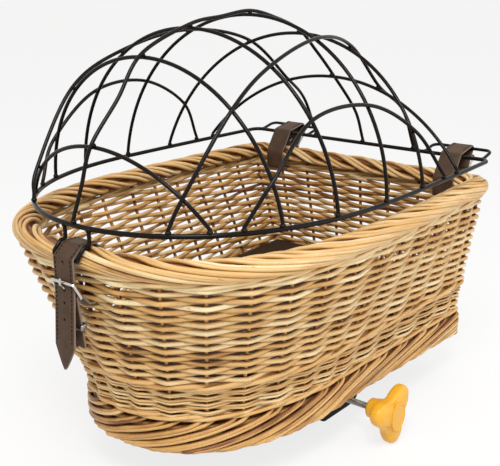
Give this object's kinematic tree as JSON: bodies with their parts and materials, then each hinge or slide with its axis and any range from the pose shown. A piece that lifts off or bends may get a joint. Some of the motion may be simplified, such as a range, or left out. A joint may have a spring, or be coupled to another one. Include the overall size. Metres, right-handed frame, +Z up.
{
  "type": "rear bicycle basket",
  "caption": "Woven willow basket with a rounded front, a hinged wire dome held by buckled leather straps, and a screw clamp for a luggage rack.",
  "frame": {"origin": "middle of the clamp channel's underside, where the part sits on the luggage rack, straight above the clamp's rod", "axes": "+Z up; +X towards the straight back with the two hinge straps, -X towards the rounded front with the closing strap; the clamp's rod runs along Y with its knob on the -Y side"},
  "size_m": [0.5576, 0.401, 0.478],
  "materials": {
    "willow": "peeled golden willow rods, satin",
    "pale_willow": "pale willow rods, satin",
    "board": "dark stained board, matt",
    "coated_wire": "dark coated steel wire, satin",
    "leather": "dark brown leather, stitched near its edges",
    "nickel": "nickel plate",
    "black_steel": "black coated steel, satin",
    "zinc": "zinc plate",
    "yellow": "yellow moulded plastic, satin"
  },
  "bodies": {
    "basket": {"wicker_foot": "willow", "wicker_band": "pale_willow", "wicker_wall": "willow", "wicker_border": "willow", "floor_board": "board", "clamp_channel": "black_steel", "clamp_bolt_1": "zinc", "clamp_bolt_2": "zinc", "clamp_bolt_3": "zinc", "clamp_bolt_4": "zinc", "clamp_nut_1": "zinc", "clamp_nut_2": "zinc", "clamp_nut_3": "zinc", "clamp_nut_4": "zinc", "clamp_jaw_fixed": "black_steel", "front_strap": "leather", "front_keeper": "nickel", "strap_rivet_1": "nickel", "strap_rivet_2": "nickel", "hinge_strap_right": "leather", "hinge_strap_left": "leather"},
    "dome": {"dome_ring": "coated_wire", "dome_hoop_1": "coated_wire", "dome_hoop_2": "coated_wire", "dome_hoop_3": "coated_wire", "dome_hoop_4": "coated_wire", "dome_hoop_5": "coated_wire", "dome_hoop_6": "coated_wire", "dome_spine": "coated_wire", "dome_rail_right": "coated_wire", "dome_rail_left": "coated_wire", "dome_arch_right": "coated_wire", "dome_arch_left": "coated_wire", "hinge_loop_right": "coated_wire", "hinge_loop_left": "coated_wire", "catch_loop": "coated_wire"},
    "front_buckle": {"front_buckle": "nickel"},
    "front_prong": {"front_prong": "nickel"},
    "hinge_buckle_right": {"hinge_buckle_right": "nickel"},
    "hinge_buckle_left": {"hinge_buckle_left": "nickel"},
    "hinge_prong_right": {"hinge_prong_right": "nickel"},
    "hinge_prong_left": {"hinge_prong_left": "nickel"},
    "screw": {"clamp_rod": "zinc", "clamp_knob": "yellow", "knob_cap": "yellow", "rod_lock_nut": "zinc", "rod_collar": "zinc"},
    "moving_jaw": {"clamp_jaw_moving": "black_steel", "jaw_nut": "zinc"}
  },
  "joints": [
    {"name": "dome_hinge", "type": "hinge", "parent": "basket", "child": "dome", "pos_m": [0.2375, 0, 0.247], "axis": [0, 1, 0], "range_deg": [0, 180], "deforming": ["front_strap", "hinge_strap_right", "hinge_strap_left"]},
    {"name": "knob_turn", "type": "hinge", "parent": "basket", "child": "screw", "pos_m": [0, 0, -0.0165], "axis": [0, 1, 0], "range_deg": [0, 10800]},
    {"name": "jaw_slide", "type": "slide", "parent": "basket", "child": "moving_jaw", "axis": [0, 1, 0], "range_m": [0, 0.06]},
    {"name": "front_buckle_turn", "type": "hinge", "parent": "basket", "child": "front_buckle", "pos_m": [-0.3018, -0.0037, 0.1755], "axis": [0, -1, 0], "range_deg": [0, 70], "deforming": ["front_strap"]},
    {"name": "front_prong_turn", "type": "hinge", "parent": "front_buckle", "child": "front_prong", "pos_m": [-0.3018, -0.0037, 0.1755], "axis": [0, -1, 0], "range_deg": [0, 50], "deforming": ["front_strap"]},
    {"name": "hinge_buckle_right_turn", "type": "hinge", "parent": "basket", "child": "hinge_buckle_right", "pos_m": [0.2225, -0.1325, 0.22], "axis": [0, 1, 0], "range_deg": [0, 60], "deforming": ["hinge_strap_right"]},
    {"name": "hinge_prong_right_turn", "type": "hinge", "parent": "hinge_buckle_right", "child": "hinge_prong_right", "pos_m": [0.2225, -0.1325, 0.22], "axis": [0, 1, 0], "range_deg": [0, 40], "deforming": ["hinge_strap_right"]},
    {"name": "hinge_buckle_left_turn", "type": "hinge", "parent": "basket", "child": "hinge_buckle_left", "pos_m": [0.2225, 0.1325, 0.22], "axis": [0, 1, 0], "range_deg": [0, 60], "deforming": ["hinge_strap_left"]},
    {"name": "hinge_prong_left_turn", "type": "hinge", "parent": "hinge_buckle_left", "child": "hinge_prong_left", "pos_m": [0.2225, 0.1325, 0.22], "axis": [0, 1, 0], "range_deg": [0, 40], "deforming": ["hinge_strap_left"]}
  ],
  "couplings": [
    {"joint": "jaw_slide", "follows": "knob_turn", "m_per_rad": 0.00031831}
  ]
}
